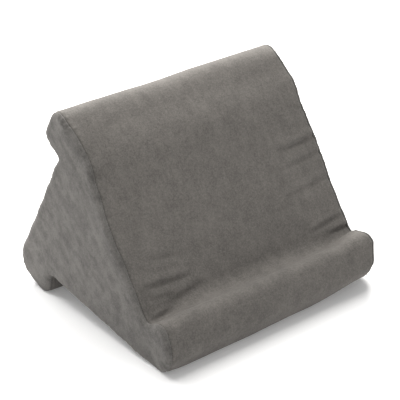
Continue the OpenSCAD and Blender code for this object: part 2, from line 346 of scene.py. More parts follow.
# How far an end seam is drawn towards the middle of the width, or lets the filling out if the amount
# is negative: the side, a lobe, its part and the share along it, the reach and amount in millimetres
LEFT, RIGHT = -1, 1
SEAM_SHIFTS = [
    (RIGHT, TOP, HEEL, 0.30, 19, 5.1),
    (RIGHT, FRONT, HEEL, 0.72, 23, 14.0),
    (RIGHT, FRONT, NOSE, 0.10, 6, -3.0),
    (LEFT, FRONT, HEEL, 0.70, 25, -2.0),
    (LEFT, FRONT, HEEL, 0.06, 11, 2.2),
    (LEFT, TOP, HEEL, 0.33, 20, -2.3),
    (LEFT, TOP, NOSE, 0.80, 8, 1.6),
    (LEFT, TOP, ROOT, 0.90, 9, 1.4),
    (LEFT, REAR, HEEL, 0.90, 18, 1.8),
    (LEFT, FRONT, FACE, 0.45, 22, -1.8),
    (LEFT, FRONT, FACE, 0.85, 18, 1.3),
    (RIGHT, FRONT, FACE, 0.27, 8, 0.9),
    (RIGHT, FRONT, FACE, 0.55, 30, -1.2),
    (RIGHT, FRONT, FACE, 0.63, 15, 1.6),
    (RIGHT, FRONT, FACE, 0.76, 13, 4.0),
    (RIGHT, FRONT, FACE, 0.85, 20, 1.6),
    (RIGHT, FRONT, FACE, 0.96, 12, 1.4),
]
SHIFT_FROM_X = 0.080
# How far over an end panel its seam's shift and lift are felt
SHIFT_FADE = 0.024
LIFT_FADE = 0.016


def drawn_in(x):
    """How far each station of the slice at x is drawn towards the middle of the width."""
    shift = np.zeros(RING_N)
    for side, lobe, part, share, reach, amount in SEAM_SHIFTS:
        if side * x > 0:
            shift += side * amount * MM * hump(TRACK - track_at(lobe, part, share), reach * MM)
    return shift * smooth_step(abs(x), SHIFT_FROM_X, SEAM_X)


def relief(x):
    """How far each station of the slice at x stands out of the plain outline."""
    from_seam = SEAM_X - abs(x)
    height = (FRONT_FACE + BACK_FACE) * FACE_CROWN * middle_share(x)
    height -= (FRONT_FACE * FRONT_SINK + BACK_FACE * BACK_SINK) * hump(from_seam, SINK_REACH)
    phase = RIGHT_PUCKER_PHASE if x > 0 else LEFT_PUCKER_PHASE
    wave = np.sin(2 * math.pi * TRACK / PUCKER_STEP + phase)
    height += SEAM_PUCKER * wave * hump(from_seam, PUCKER_REACH)
    for lobe, part, share, reach, amount, low, high in SWELLS:
        rise = amount * MM * smooth_step(x, low, high)
        height += rise * hump(TRACK - track_at(lobe, part, share), reach * MM)
    height += UNEVEN * np.array([noise.noise(Vector((x, y, z)) / UNEVEN_SIZE) for y, z in OUTLINE])
    height[-WINDOW_POINTS:] = 0
    return height * CALM


# ---- Mesh helpers ----

def linked(name, data):
    """A new object of the scene."""
    obj = bpy.data.objects.new(name, data)
    bpy.context.scene.collection.objects.link(obj)
    return obj


def mesh_object(name, vertices, faces):
    mesh = bpy.data.meshes.new(name)
    mesh.from_pydata([tuple(map(float, v)) for v in vertices], [], [tuple(map(int, f)) for f in faces])
    mesh.validate()
    return linked(name, mesh)


def ring_quads(first, second):
    """Quads between two closed rings of vertex numbers."""
    count = len(first)
    return [(first[j], first[(j + 1) % count], second[(j + 1) % count], second[j]) for j in range(count)]


def tube_faces(rings, count):
    """The faces of a tube of rings with count points each, with both ends closed."""
    rows = [range(i * count, (i + 1) * count) for i in range(rings)]
    faces = [face for pair in zip(rows, rows[1:]) for face in ring_quads(*pair)]
    return faces + [tuple(rows[0])[::-1], tuple(rows[-1])]


@contextmanager
def edited(obj):
    """Opens an object's mesh as a bmesh, and writes it back afterwards."""
    shape = bmesh.new()
    shape.from_mesh(obj.data)
    yield shape
    shape.to_mesh(obj.data)
    shape.free()


def read(items, name, width=3):
    """One value or vector of each item of a mesh."""
    values = np.empty(len(items) * width, np.float32)
    items.foreach_get(name, values)
    return values.reshape(-1, width).astype(float)


def coordinates(mesh):
    return read(mesh.vertices, "co")


def set_coordinates(mesh, co):
    mesh.vertices.foreach_set("co", np.asarray(co, np.float32).ravel())
    mesh.update()


def modify(obj, kind, **settings):
    """Applies one modifier to an object."""
    modifier = obj.modifiers.new(kind, kind)
    for name, value in settings.items():
        setattr(modifier, name, value)
    depsgraph = bpy.context.evaluated_depsgraph_get()
    done = bpy.data.meshes.new_from_object(obj.evaluated_get(depsgraph))
    old = obj.data
    obj.modifiers.clear()
    obj.data = done
    bpy.data.meshes.remove(old)
    return obj


def smooth_shade(obj, sharp_from=None):
    """Smooth shading, but for edges that turn by more than some degrees."""
    for polygon in obj.data.polygons:
        polygon.use_smooth = True
    if sharp_from is not None:
        obj.data.set_sharp_from_angle(angle=math.radians(sharp_from))
    return obj


def remove_object(obj):
    mesh = obj.data
    bpy.data.objects.remove(obj)
    bpy.data.meshes.remove(mesh)


# ---- The closed cover: wrap, two end panels and the slot's window ----

WRAP, LEFT_END, RIGHT_END, WINDOW = range(4)
# Each point keeps its place across the width as it was before the seams were drawn in
ACROSS = "across"
# ... and its distance along the outline
ALONG = "along"
SEAM_SIDE_X = [SEAM_X - 7 * MM, SEAM_X - 3.6 * MM, SEAM_X - 1.2 * MM, SEAM_X]
BORDER_ANGLES = [12, 25, 40, 58, 75, 90]
END_CROWN = 1.2 * MM
END_CROWN_REACH = 0.045
END_UNEVEN = 0.5 * MM
END_UNEVEN_SIZE = 0.05
END_NOISE_X = 3.1
END_CALM = 0.02
END_GRID = 4.2 * MM
GRID_MARGIN = 0.55 * END_GRID
SHIFT_BLEND = 4 * MM


def across():
    """The places across the width where the wrap has a line of points."""
    count = round(2 * WINDOW_X / SPACING) + 1
    middle = np.linspace(-WINDOW_X, WINDOW_X, count)
    return np.concatenate([-np.array(SEAM_SIDE_X[::-1]), middle, SEAM_SIDE_X])


def slice_points(x, radii, inset, lift, shift):
    """The points of a slice at x, each lifted out of the outline and drawn in along x."""
    flat = ring(radii, inset)
    points = flat + outward(flat) * lift[:, None]
    return [(x - felt, y, z) for felt, (y, z) in zip(shift, points)]


def border_rings(side):
    """The end panel's rounded border, ring by ring, and each point's place before the seam's shift."""
    points, nominal_xs = [], []
    x_seam = side * SEAM_X
    lift = relief(x_seam)
    shift = drawn_in(x_seam)
    for angle in BORDER_ANGLES:
        t = math.radians(angle)
        inset = END_BORDER * (1 - math.cos(t))
        x = side * (SEAM_X + END_BULGE * math.sin(t))
        felt_lift = lift * hump(inset, LIFT_FADE)
        points += slice_points(x, radii_at(x_seam), inset, felt_lift, shift * hump(inset, SHIFT_FADE))
        nominal_xs += [x] * RING_N
    return points, nominal_xs


def points_inside(border, margin):
    """A staggered grid of [y, z] points inside a closed border."""
    low, high = border.min(axis=0), border.max(axis=0)
    row_step = END_GRID * math.sqrt(3) / 2
    inside = []
    following = np.roll(border, -1, axis=0)
    for row, z in enumerate(np.arange(low[1], high[1], row_step)):
        for y in np.arange(low[0] + (row % 2) * END_GRID / 2, high[0], END_GRID):
            above = (border[:, 1] > z) != (following[:, 1] > z)
            share = (z - border[above, 1]) / (following[above, 1] - border[above, 1])
            cross = border[above, 0] + share * (following[above, 0] - border[above, 0])
            if (cross > y).sum() % 2 == 0:
                continue
            if np.hypot(border[:, 0] - y, border[:, 1] - z).min() > margin:
                inside.append((y, z))
    return inside


def end_middle(side, border, seam):
    """Vertices and triangles that fill an end panel inside its border ring."""
    inside = points_inside(border, GRID_MARGIN)
    flat = [Vector(p) for p in border] + [Vector(p) for p in inside]
    result = delaunay_2d_cdt(flat, [], [list(range(len(border)))], 1, 1e-7)
    points, _, triangles, origins = result[:4]
    assert len(points) == len(flat), "the end panel's fill added points"
    shift = drawn_in(side * SEAM_X)
    vertices = []
    for y, z in inside:
        away = np.hypot(border[:, 0] - y, border[:, 1] - z)
        depth = away.min()
        nearby = np.exp(-((away - depth) / SHIFT_BLEND))
        felt = (shift * nearby).sum() / nearby.sum() * hump(depth + END_BORDER, SHIFT_FADE)
        bump = noise.noise(Vector((side * END_NOISE_X, y, z)) / END_UNEVEN_SIZE)
        crown = END_CROWN * (1 - math.exp(-depth / END_CROWN_REACH))
        crown += END_UNEVEN * bump * min(1, depth / END_CALM)
        vertices.append((side * (SEAM_X + END_BULGE + crown) - felt, y, z))
    order = [origin[0] for origin in origins]
    index = [seam[o] if o < len(border) else seam[-1] + 1 + o - len(border) for o in order]
    return vertices, [[index[i] for i in triangle] for triangle in triangles]


def closed_cover():
    """One closed mesh of the cover. Each face's material index says which panel it belongs to."""
    xs = across()
    vertices = [p for x in xs for p in slice_points(x, radii_at(x), 0, relief(x), drawn_in(x))]
    nominal_xs = list(np.repeat(xs, RING_N))
    rows = [range(i * RING_N, (i + 1) * RING_N) for i in range(len(xs))]
    faces, panels = [], []
    for i in range(len(xs) - 1):
        faces += ring_quads(rows[i], rows[i + 1])
        between = abs((xs[i] + xs[i + 1]) / 2) < WINDOW_X
        panels += [WRAP] * (RING_N - WINDOW_STEPS) + [WINDOW if between else WRAP] * WINDOW_STEPS
    along = list(TRACK) * len(xs)
    for side, panel, last in ((LEFT, LEFT_END, rows[0]), (RIGHT, RIGHT_END, rows[-1])):
        border_rows, border_xs = border_rings(side)
        start = len(vertices)
        vertices += border_rows
        for first in range(start, len(vertices), RING_N):
            row = range(first, first + RING_N)
            faces += ring_quads(last, row)
            last = row
        border = np.array([vertices[i][1:] for i in last])
        extra, triangles = end_middle(side, border, last)
        vertices += extra
        faces += triangles
        nominal_xs += border_xs + [side * (SEAM_X + END_BULGE)] * len(extra)
        along += list(TRACK) * len(BORDER_ANGLES) + [0.0] * len(extra)
        panels += [panel] * (len(faces) - len(panels))
    cover = mesh_object("cover_shape", vertices, faces)
    for _ in (WRAP, LEFT_END, RIGHT_END, WINDOW):
        cover.data.materials.append(None)
    cover.data.polygons.foreach_set("material_index", panels)
    for name, values in ((ACROSS, nominal_xs), (ALONG, along)):
        cover.data.attributes.new(name, "FLOAT", "POINT").data.foreach_set("value", values)
    with edited(cover) as shape:
        bmesh.ops.recalc_face_normals(shape, faces=shape.faces)
    return cover


# ---- Cloth simulation of the closed cover ----

SIM_FRAMES = 20
SIM_CAP = 4.5 * MM
SIM_PRESSURE = 2.0
SIM_GROWTH = 0.018
# How firmly points are held: on the faces, beside a seam, in a ledge's crease, at the zip and the feet
FACE_PIN = 0.28
SEAM_PIN = 0.5
SEAM_PIN_REACH = 5 * MM
ROOT_PIN = 0.85
ROOT_PIN_REACH = 9 * MM
ZIP_PIN_W = 16 * MM
ZIP_PIN_H = 4 * MM
FOOT_PIN_H = 3 * MM
# How much of the growth each part has: the left of the wrap, the right of it, and the end panels
LEFT_SLACK = 0.35
RIGHT_SLACK = 1.0
END_SLACK = 0.6
SLACK_FROM_X = 0.060


def set_weights(obj, name, weights):
    group = obj.vertex_groups.new(name=name)
    for step in np.unique(weights.round(2)):
        chosen = np.nonzero(weights.round(2) == step)[0]
        group.add([int(i) for i in chosen], float(step), "REPLACE")


def simulate(cover):
    """Lets the slack cloth settle under a light push from the foam, then keeps the result."""
    start = coordinates(cover.data)
    w, h = to_zip(start)
    from_seam = np.abs(SEAM_X - np.abs(start[:, 0]))
    pins = FACE_PIN + SEAM_PIN * hump(from_seam, SEAM_PIN_REACH)
    for lobe in range(LOBES):
        y, z = placed(on_arc(arcs_for(RADII)[3 * lobe + ROOT], 0.5))
        from_root = np.hypot(start[:, 1] - y, start[:, 2] - z)
        pins = np.maximum(pins, ROOT_PIN * hump(from_root, ROOT_PIN_REACH))
    pins[(np.abs(w) < ZIP_PIN_W) & (np.abs(h) < ZIP_PIN_H)] = 1
    pins[start[:, 2] < FOOT_PIN_H] = 1
    set_weights(cover, "pins", np.clip(pins, 0, 1))
    slack = LEFT_SLACK + (RIGHT_SLACK - LEFT_SLACK) * smooth_step(start[:, 0], SLACK_FROM_X, SEAM_X)
    slack[np.abs(start[:, 0]) > SEAM_X + MM] = END_SLACK
    set_weights(cover, "slack", slack)
    cloth = cover.modifiers.new("Cloth", "CLOTH")
    settings = cloth.settings
    settings.quality = 6
    settings.mass = 0.3
    settings.tension_stiffness = 25
    settings.compression_stiffness = 25
    settings.shear_stiffness = 8
    settings.bending_stiffness = 0.6
    settings.air_damping = 2
    settings.vertex_group_mass = "pins"
    settings.pin_stiffness = 1.2
    settings.use_pressure = True
    settings.uniform_pressure_force = SIM_PRESSURE
    settings.vertex_group_shrink = "slack"
    settings.shrink_min = 0
    settings.shrink_max = -SIM_GROWTH
    settings.effector_weights.gravity = 0
    cloth.collision_settings.use_collision = False
    cloth.collision_settings.use_self_collision = False
    cloth.point_cache.frame_start = 1
    cloth.point_cache.frame_end = SIM_FRAMES
    scene = bpy.context.scene
    for step in range(1, SIM_FRAMES + 1):
        scene.frame_set(step)
    depsgraph = bpy.context.evaluated_depsgraph_get()
    settled = coordinates(cover.evaluated_get(depsgraph).data)
    scene.frame_set(1)
    cover.modifiers.clear()
    cover.vertex_groups.clear()
    move = settled - start
    length = np.linalg.norm(move, axis=1, keepdims=True)
    set_coordinates(cover.data, start + move * np.minimum(1, SIM_CAP / np.maximum(length, 1e-9)))


# ---- Fine relief of the cover: creases, seam valleys and the flat feet ----

# Creases of the front face in millimetres: from x, u to x, u, then the width and the depth. x is
# across the width and u is up from the ledge.
CREASES = [
    (-129, 32, -72, 28, 2.7, 2.1),
    (-118, 56, -66, 49, 3.2, 0.9),
    (-112, 9, -56, 17, 3.4, 1.2),
    (-139, 0, -98, 5, 2.2, 1.7),
    (-128, 20, -92, 17, 2.4, 0.7),
    (78, 110, 152, 115, 2.7, 2.4),
    (74, 91, 152, 98, 2.8, 1.5),
    (66, 62, 146, 69, 3.2, 1.2),
    (84, 20, 138, 27, 2.6, 1.4),
    (108, 12, 146, 14, 2.2, 2.2),
    (92, 130, 150, 128, 3.4, 0.7),
]
VALLEY_DEPTH = 1.4 * MM
VALLEY_REACH = 1.7 * MM
VALLEY_POWER = 1.6
FINE_UNEVEN = 0.24 * MM
FINE_UNEVEN_SIZE = 0.018
# Small gathers that the stitches pull into the cloth beside the end seams
GATHER_DEPTH = 0.24 * MM
GATHER_STEP = 9.5 * MM
GATHER_FROM = 2.6 * MM
GATHER_REACH = 3.2 * MM
GATHER_WANDER_SIZE = 0.030
GATHER_DRIFT = 5
GATHER_MEAN = 0.6
GATHER_RANGE = 0.8
# A crease's groove, the soft ridge above it, and how its ends fade
CREASE_FADE = 0.7
RIDGE_SHARE = 0.55
RIDGE_OFFSET = 1.9
RIDGE_WIDTH = 1.5
# Creases fade out between these distances from the plane of the front face
ON_FACE = (7 * MM, 12 * MM)
FRONT_ROOT = placed(SHARP[3 * FRONT + ROOT])
FACE_UP = turned(unit(CORNERS[TOP] - CORNERS[FRONT]), LEAN)
FACE_OUT = turned(FACE_UP, math.pi / 2)


def crease_height(x, u, crease):
    """A groove with a soft ridge above it, fading towards its ends."""
    x0, u0, x1, u1, width, depth = [value * MM for value in crease]
    t = (x - x0) / (x1 - x0)
    fade = np.sin(math.pi * np.clip(t, 0, 1)) ** CREASE_FADE
    offset = u - (u0 + (u1 - u0) * np.clip(t, 0, 1))
    ridge = hump(offset - RIDGE_OFFSET * width, RIDGE_WIDTH * width)
    return depth * fade * (RIDGE_SHARE * ridge - hump(offset, width))


def uneven(co, size):
    """Noise whose lumps are about size metres across, at each point."""
    return np.array([noise.noise(Vector(point) / size) for point in co])


def add_fine_relief(cover):
    co = coordinates(cover.data)
    normals = read(cover.data.vertex_normals, "vector")
    x, along = [read(cover.data.attributes[name].data, "value", 1)[:, 0] for name in (ACROSS, ALONG)]
    u = (co[:, 1:] - FRONT_ROOT) @ FACE_UP
    out = (co[:, 1:] - FRONT_ROOT) @ FACE_OUT
    on_face = (1 - smooth_step(np.abs(out), *ON_FACE)) * (np.abs(x) < SEAM_X + 0.5 * MM)
    height = FINE_UNEVEN * uneven(co, FINE_UNEVEN_SIZE)
    for crease in CREASES:
        height += on_face * crease_height(x, u, crease)
    from_seam = np.abs(np.abs(x) - SEAM_X)
    wander = uneven(co, GATHER_WANDER_SIZE)
    strength = GATHER_MEAN + GATHER_RANGE * wander
    gathers = strength * np.sin(2 * math.pi * along / GATHER_STEP + GATHER_DRIFT * wander)
    height += GATHER_DEPTH * gathers * hump(from_seam - GATHER_FROM, GATHER_REACH)
    w, h = to_zip(co)
    height *= np.clip((np.hypot(w, h) - WINDOW_W) / ZIP_CALM, 0, 1)
    height -= VALLEY_DEPTH * np.clip(1 - from_seam / VALLEY_REACH, 0, 1) ** VALLEY_POWER
    co += normals * height[:, None]
    co[:, 2] = np.maximum(co[:, 2], 0)
    set_coordinates(cover.data, co)


# ---- Panels cut from the cover ----

SEAM_GAP = 0.38 * MM
LIP_DEPTHS = [0.8 * MM, 0.9 * MM]
CLOTH_T = 1.3 * MM
EDGE_TOLERANCE = 0.5 * MM
# The slot's hem, folded back under the cloth: distance beyond the slot and height, in millimetres
HEM_FOLD = [(0.41, -0.41), (0.0, -1.4), (0.41, -2.39), (1.4, -2.8), (9.0, -2.8)]


def new_object(name, shape):
    """Turns a bmesh into an object of the scene."""
    mesh = bpy.data.meshes.new(name)
    shape.to_mesh(mesh)
    shape.free()
    return linked(name, mesh)


def keep_panel(cover, panel):
    """A bmesh of the cover that has only one panel's faces."""
    shape = bmesh.new()
    shape.from_mesh(cover.data)
    others = [face for face in shape.faces if face.material_index != panel]
    bmesh.ops.delete(shape, geom=others, context="FACES")
    for face in shape.faces:
        face.material_index = 0
    shape.normal_update()
    return shape


def extrude_rim(shape, rim, place):
    """Extrudes open edges. place(vert, source) puts each new vertex. Returns the new open edges."""
    old = {vert for edge in rim for vert in edge.verts}
    made = bmesh.ops.extrude_edge_only(shape, edges=rim)["geom"]
    for vert in [item for item in made if isinstance(item, bmesh.types.BMVert)]:
        source = next(e.other_vert(vert) for e in vert.link_edges if e.other_vert(vert) in old)
        place(vert, source)
    return [item for item in made if isinstance(item, bmesh.types.BMEdge) and item.is_boundary]


def open_edges(shape, low, high):
    """The open edges of a panel whose points lie between two distances from the middle of the width."""
    across = shape.verts.layers.float[ACROSS]
    return [e for e in shape.edges if e.is_boundary and all(low < abs(v[across]) < high for v in e.verts)]


def turn_in_seams(shape, sideways):
    """Turns the cloth in along the end seams. sideways is the hair's gap left for the thread."""
    rim = open_edges(shape, SEAM_X - EDGE_TOLERANCE, SEAM_X + EDGE_TOLERANCE)
    inward = {}
    for vert in {v for e in rim for v in e.verts}:
        inward[vert] = -Vector((0, vert.normal.y, vert.normal.z)).normalized()
        vert.co.x += math.copysign(sideways, vert.co.x)
    for depth in LIP_DEPTHS:
        def place(vert, source, depth=depth):
            inward[vert] = inward[source]
            vert.co = source.co + inward[source] * depth
        rim = extrude_rim(shape, rim, place)


def fold_hem(shape):
    """Folds the cloth back under itself all round the zip's slot."""
    rim = open_edges(shape, -1, WINDOW_X + EDGE_TOLERANCE)
    kinds = {}
    for vert in {v for e in rim for v in e.verts}:
        w = float((np.array(vert.co.yz) - ZIP_ORIGIN) @ ZIP_W)
        along = abs(w) > WINDOW_W - EDGE_TOLERANCE
        kinds[vert] = (along, abs(vert.co.x) > WINDOW_X - EDGE_TOLERANCE, vert.co.x, w)
    for beyond, height in HEM_FOLD:
        def place(vert, source, beyond=beyond * MM, height=height * MM):
            along, at_end, x, w = kinds[vert] = kinds[source]
            if along:
                w = math.copysign(SLOT_HALF_W + beyond, w)
            if at_end:
                x = math.copysign(SLOT_END + min(beyond, FOLD_R), x)
            vert.co = zip_point(x, w, height)
        rim = extrude_rim(shape, rim, place)


def thicken(obj, thickness):
    return modify(obj, "SOLIDIFY", thickness=thickness, offset=-1)


def seam_line(shape, side):
    """The points of one end seam in order, with their outward directions."""
    edges = open_edges(shape, SEAM_X - EDGE_TOLERANCE, SEAM_X + EDGE_TOLERANCE)
    edges = [e for e in edges if e.verts[0].co.x * side > 0]
    links = {}
    for edge in edges:
        for vert in edge.verts:
            links.setdefault(vert, []).append(edge.other_vert(vert))
    line, last = [edges[0].verts[0]], None
    while len(line) < len(links):
        here = line[-1]
        line.append(next(v for v in links[here] if v is not last))
        last = here
    points = np.array([v.co for v in line])
    normals = np.array([(0, v.normal.y, v.normal.z) for v in line])
    return points, normals / np.linalg.norm(normals, axis=1, keepdims=True)


def cut_wrap(cover):
    shape = keep_panel(cover, WRAP)
    seams = {side: seam_line(shape, side) for side in (LEFT, RIGHT)}
    turn_in_seams(shape, -SEAM_GAP)
    fold_hem(shape)
    return thicken(new_object("cover_wrap", shape), CLOTH_T), seams


def cut_end(cover, panel, name):
    shape = keep_panel(cover, panel)
    turn_in_seams(shape, SEAM_GAP)
    return thicken(new_object(name, shape), CLOTH_T)


# ---- Thread: stitches that dip into the cloth at both ends ----

THREAD_R = 0.25 * MM
STITCH_SIDES = 6
STITCH_STEPS = 6
STITCH_SINK = 0.34 * MM
STITCH_RISE = 0.6
STITCH_TAPER = 0.45
# How far the reference direction of a swept thread leans to the front, so that it's never along it
THREAD_LEAN = 0.3


def tube(path, across_dirs, up_dirs, radii, sides):
    """Rings of points round a path, and the faces between them, with closed ends."""
    vertices = []
    for centre, side, up, r in zip(path, across_dirs, up_dirs, radii):
        for j in range(sides):
            angle = 2 * math.pi * j / sides
            vertices.append(centre + side * (r * math.cos(angle)) + up * (r * math.sin(angle)))
    return vertices, tube_faces(len(path), sides)


def stitch_row(name, stitches):
    """One mesh of many stitches, each (start, end, outward direction)."""
    vertices, faces = [], []
    for start, end, out in stitches:
        along = end - start
        side = unit(np.cross(along, out))
        shares = np.linspace(0, 1, STITCH_STEPS + 1)
        path = [
            start + along * t + out * (STITCH_RISE * THREAD_R - STITCH_SINK * (2 * t - 1) ** 4)
            for t in shares
        ]
        radii = [THREAD_R * (1 - STITCH_TAPER * (2 * t - 1) ** 6) for t in shares]
        count = len(path)
        points, quads = tube(path, [side] * count, [out] * count, radii, STITCH_SIDES)
        base = len(vertices)
        vertices += points
        faces += [tuple(base + i for i in quad) for quad in quads]
    return smooth_shade(mesh_object(name, vertices, faces))


def place_on_line(points, distance, track):
    return np.array([np.interp(distance, track, points[:, axis]) for axis in range(3)])


SEAM_STITCH_L = 2.5 * MM
SEAM_STITCH_PITCH = 3.3 * MM


def seam_stitches(name, seam):
    """Stitches all round one end seam, down in its valley."""
    points, normals = [np.vstack([part, part[:1]]) for part in seam]
    track = distances(seam[0])
    count = int(track[-1] // SEAM_STITCH_PITCH)
    pitch = track[-1] / count
    stitches = []
    for i in range(count):
        start = place_on_line(points, i * pitch, track)
        end = place_on_line(points, i * pitch + SEAM_STITCH_L, track)
        stitches.append((start, end, unit(place_on_line(normals, i * pitch, track))))
    return stitch_row(name, stitches)


ZIP_STITCH_L = 2.6 * MM
ZIP_STITCH_PITCH = 3.6 * MM
ZIP_STITCH_W = SLOT_HALF_W + 2.5 * MM
ZIP_STITCH_END = SLOT_END - 5 * MM


def zip_stitches(name, side):
    """The row of topstitching along one hem of the slot."""
    count = int((2 * ZIP_STITCH_END - ZIP_STITCH_L) // ZIP_STITCH_PITCH)
    start_x = -(count * ZIP_STITCH_PITCH + ZIP_STITCH_L) / 2
    stitches = []
    for i in range(count + 1):
        x = start_x + i * ZIP_STITCH_PITCH
        start = np.array(zip_point(x, side * ZIP_STITCH_W, 0))
        stitches.append((start, start + np.array([ZIP_STITCH_L, 0, 0]), ZIP_OUT))
    return stitch_row(name, stitches)


def swept_thread(name, path, r, sides):
    """A round thread along a path in the zip's frame, as one tube."""
    points = np.array([zip_point(*p) for p in path])
    ahead = np.gradient(points, axis=0)
    ahead /= np.linalg.norm(ahead, axis=1, keepdims=True)
    side = np.cross(ahead, ZIP_OUT + THREAD_LEAN * np.array([0.0, *ZIP_W]))
    side /= np.linalg.norm(side, axis=1, keepdims=True)
    up = np.cross(side, ahead)
    vertices, faces = tube(points, side, up, [r] * len(points), sides)
    return smooth_shade(mesh_object(name, vertices, faces))


BARTACK_X = SLOT_END - 3 * MM
BARTACK_HALF_L = 1.0 * MM
BARTACK_HALF_W = SLOT_HALF_W + 1.5 * MM
BARTACK_PASSES = 36
BARTACK_R = 0.21 * MM
BARTACK_H = 0.3 * MM


def bartack(name, side):
    """Dense zigzag sewing across the two hems."""
    path = []
    for i in range(2 * BARTACK_PASSES + 1):
        w = BARTACK_HALF_W * (i / BARTACK_PASSES - 1)
        end = BARTACK_HALF_L * (1 if i % 2 else -1)
        for share, height in ((-1, 0.15), (-0.6, 1.0), (0.6, 1.0), (1, 0.15)):
            path.append((side * BARTACK_X + end * share, w, BARTACK_H * height))
    return swept_thread(name, path, BARTACK_R, 5)


# ---- Zip: tapes, coils, and the metal pieces with broken edges ----

TAPE_INNER_W = 1.1 * MM
TAPE_OUTER_W = 15 * MM
TAPE_END = SLOT_END + 0.5 * MM
TAPE_TOP_H = -2.9 * MM
TAPE_MESH_T = 0.5 * MM
TAPE_SINK = 0.08 * MM
TAPE_RIPPLE = 0.06 * MM
RIPPLE_STEP = 0.023
CORD_H = 0.02 * MM
CORD_REACH = 0.08
COIL_PITCH = 1.9 * MM
COIL_R = 0.3 * MM
COIL_STEPS = 16
COIL_W = (-0.55 * MM, 2.75 * MM)
COIL_H = -1.8 * MM
COIL_HALF_H = 0.72 * MM
COIL_FROM = -0.1138
COIL_TO = 0.1148
# Ahead of the slider each coil narrows and moves off the middle
PART_X = (0.1035, 0.1095)
COIL_PART = 1.15 * MM
PART_MOVE = 0.6


def grid_sheet(name, columns, rows, place):
    """A sheet of quads. place(u, v) gives the point at shares u and v of its length and width."""
    vertices = [place(i / columns, j / rows) for i in range(columns + 1) for j in range(rows + 1)]
    n = rows + 1
    faces = [
        (i * n + j, (i + 1) * n + j, (i + 1) * n + j + 1, i * n + j + 1)
        for i in range(columns) for j in range(rows)
    ]
    return mesh_object(name, vertices, faces)


def zip_tape(name, side):
    """A woven tape with a raised cord edge beside the coil and a faint ripple along its length."""
    def place(u, v):
        x = TAPE_END * (2 * u - 1)
        w = TAPE_INNER_W + (TAPE_OUTER_W - TAPE_INNER_W) * v
        ripple = TAPE_RIPPLE * math.sin(2 * math.pi * x / RIPPLE_STEP + side) * v
        cord = CORD_H * math.exp(-(v / CORD_REACH) ** 2)
        return zip_point(x, side * w, TAPE_TOP_H - TAPE_SINK + ripple + cord)
    tape = grid_sheet(name, 150, 12, place)
    with edited(tape) as shape:
        bmesh.ops.recalc_face_normals(shape, faces=shape.faces)
        shape.faces.ensure_lookup_table()
        if shape.faces[0].normal.dot(Vector(ZIP_OUT)) < 0:
            bmesh.ops.reverse_faces(shape, faces=shape.faces)
    return smooth_shade(thicken(tape, TAPE_MESH_T), 50)


def zip_coil(name, side):
    """One coil of nylon thread. The two coils are half a pitch apart, and part ahead of the slider."""
    turns = (COIL_TO - COIL_FROM) / COIL_PITCH
    middle, reach = sum(COIL_W) / 2, (COIL_W[1] - COIL_W[0]) / 2
    offset = 0 if side > 0 else 0.5
    path = []
    for i in range(int(turns * COIL_STEPS)):
        angle = 2 * math.pi * i / COIL_STEPS
        x = COIL_FROM + COIL_PITCH * (i / COIL_STEPS + offset)
        parted = COIL_PART * float(smooth_step(x, *PART_X))
        w = middle + PART_MOVE * parted + (reach - (1 - PART_MOVE) * parted) * math.cos(angle)
        path.append((min(x, COIL_TO), side * w, COIL_H + COIL_HALF_H * math.sin(angle)))
    return swept_thread(name, path, COIL_R, 6)


def rounded_copy(node, name, width):
    """The CAD piece with its edges broken by a small bevel."""
    shape = bmesh.new()
    shape.from_mesh(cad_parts[node].data)
    bmesh.ops.remove_doubles(shape, verts=shape.verts, dist=0.002 * MM)
    bmesh.ops.dissolve_limit(shape, angle_limit=math.radians(1), verts=shape.verts, edges=shape.edges)
    for face in shape.faces:
        face.material_index = 0
    obj = new_object(name, shape)
    obj.data.materials.clear()
    modify(obj, "BEVEL", width=width * MM, segments=2, limit_method="ANGLE", angle_limit=math.radians(35))
    return smooth_shade(obj, 40)


# ---- Foam core and care label ----

# The foam's slices: place across the width, and millimetres inside the cover's outline
CORE_SLICES = [
    (0.040, 8), (0.085, 8), (0.108, 8), (0.1235, 8), (0.1285, 8.6), (0.1315, 10.2), (0.1325, 12),
]
CHANNEL = (SLOT_END + 2 * MM, TAPE_OUTER_W + 2 * MM, 10.5 * MM)
BOX_FACES = [(0, 1, 3, 2), (4, 6, 7, 5), (0, 4, 5, 1), (2, 3, 7, 6), (0, 2, 6, 4), (1, 5, 7, 3)]


def foam_core():
    """The foam block, slightly smaller than its cover, with rounded ends and a channel over the zip."""
    vertices = []
    slices = [(-x, inset) for x, inset in CORE_SLICES[::-1]] + CORE_SLICES
    for x, inset in slices:
        side = math.copysign(1, x)
        shift = side * np.maximum(side * drawn_in(x), 0)
        vertices += slice_points(x, radii_at(x), inset * MM, np.minimum(relief(x), 0), shift)
    core = mesh_object("foam_block", vertices, tube_faces(len(slices), RING_N))
    with edited(core) as shape:
        bmesh.ops.triangulate(shape, faces=[f for f in shape.faces if len(f.verts) > 4])
        bmesh.ops.recalc_face_normals(shape, faces=shape.faces)
    corners = [zip_point(*corner) for corner in product(*[(-half, half) for half in CHANNEL])]
    cutter = mesh_object("cutter", corners, BOX_FACES)
    modify(core, "BOOLEAN", operation="DIFFERENCE", object=cutter, solver="EXACT")
    remove_object(cutter)
    return smooth_shade(core, 40)


LABEL_L = 28 * MM
LABEL_W = 18 * MM
LABEL_T = 0.45 * MM
LABEL_FROM_ZIP = 50 * MM
LABEL_IN_SEAM = 0.6 * MM
LABEL_SINK = 0.9 * MM
SINK_SHARE = 0.05
LABEL_BASE_H = 0.5 * MM
LABEL_RISE = 2.2 * MM
LABEL_TWIST = 0.9 * MM
LABEL_CURL = 0.5 * MM


